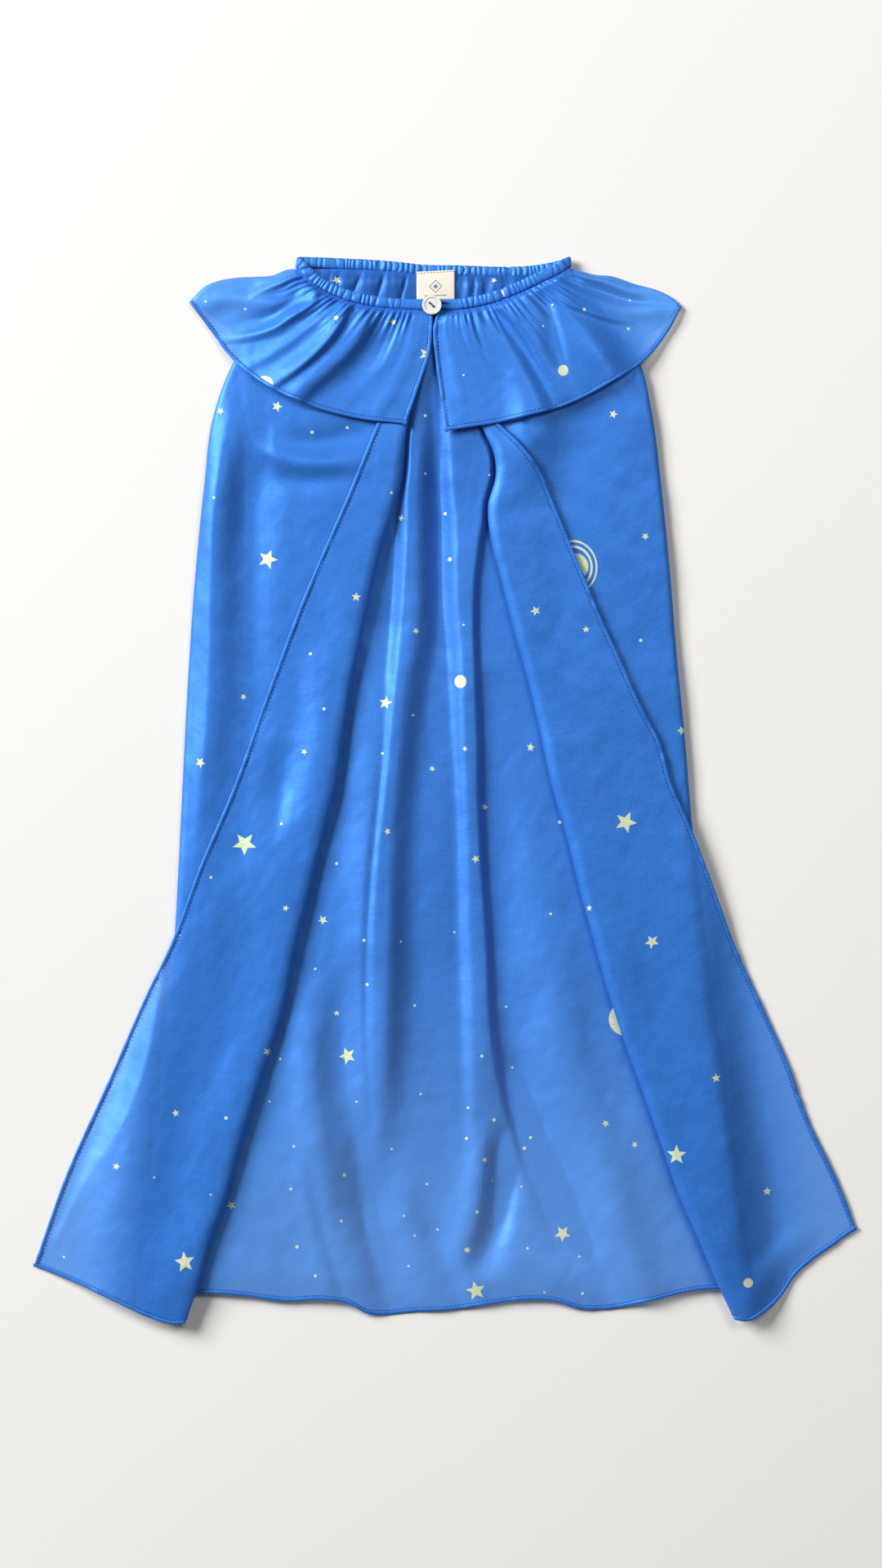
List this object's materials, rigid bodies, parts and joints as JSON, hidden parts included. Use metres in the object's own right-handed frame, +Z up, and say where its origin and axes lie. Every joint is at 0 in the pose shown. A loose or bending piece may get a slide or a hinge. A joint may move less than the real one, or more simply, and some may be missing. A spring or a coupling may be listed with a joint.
{
  "type": "superhero cape",
  "caption": "Child's silk play cape with a ruffle collar, an elastic neck band closed by a button and loop, and turned-back front edges, laid flat.",
  "frame": {"origin": "middle of the cape on the surface it lies on", "axes": "+Y towards the neck, +X to the left of a wearer, +Z up, away from the surface it lies on"},
  "size_m": [0.539, 0.698, 0.0138],
  "materials": {
    "silk": "light habotai silk, blue with a small pale star print",
    "hem_silk": "the same silk rolled twice and stitched",
    "elastic": "flat woven elastic",
    "thread": "blue sewing thread",
    "button": "pearly shell, polished",
    "label": "cream woven cotton"
  },
  "bodies": {
    "cape": {"back_collar": "silk", "back_collar_hem": "hem_silk", "back_panel": "silk", "back_panel_hem": "hem_silk", "button_loop": "thread", "button_shank": "thread", "left_collar": "silk", "left_collar_hem": "hem_silk", "left_facing": "silk", "left_front": "silk", "left_front_hem": "hem_silk", "left_placket": "silk", "neck_casing": "silk", "neck_elastic": "elastic", "right_collar": "silk", "right_collar_hem": "hem_silk", "right_facing": "silk", "right_front": "silk", "right_front_hem": "hem_silk", "right_placket": "silk"},
    "left_front_edge": {"left_flap": "silk", "left_flap_hem": "hem_silk"},
    "right_front_edge": {"right_flap": "silk", "right_flap_hem": "hem_silk"},
    "left_collar_corner": {"left_lapel": "silk", "left_lapel_hem": "hem_silk"},
    "right_collar_corner": {"right_lapel": "silk", "right_lapel_hem": "hem_silk"},
    "neck_label": {"label": "label"},
    "front_button": {"button": "button", "button_thread": "thread"}
  },
  "joints": [
    {"name": "left_front_turn", "type": "hinge", "parent": "cape", "child": "left_front_edge", "pos_m": [-0.04886, 0.22792, 0.0089], "axis": [0.2197, 0.9756, 0], "range_deg": [0, 150]},
    {"name": "right_front_turn", "type": "hinge", "parent": "cape", "child": "right_front_edge", "pos_m": [0.03935, 0.22875, 0.0089], "axis": [0.2634, -0.9647, 0], "range_deg": [0, 150]},
    {"name": "left_collar_lift", "type": "hinge", "parent": "cape", "child": "left_collar_corner", "pos_m": [-0.007, 0.3013, 0.0113], "axis": [-0.957, -0.29, 0], "range_deg": [0, 110]},
    {"name": "right_collar_lift", "type": "hinge", "parent": "cape", "child": "right_collar_corner", "pos_m": [-0.0062, 0.3013, 0.0113], "axis": [-0.9475, 0.3198, 0], "range_deg": [0, 110]},
    {"name": "label_lift", "type": "hinge", "parent": "cape", "child": "neck_label", "pos_m": [-0.0062, 0.3409, 0.006], "axis": [-1, 0, 0], "range_deg": [0, 100]},
    {"name": "button_turn", "type": "hinge", "parent": "cape", "child": "front_button", "pos_m": [-0.0088, 0.317, 0.0092], "axis": [0, 0, 1], "range_deg": [-40, 40]}
  ]
}
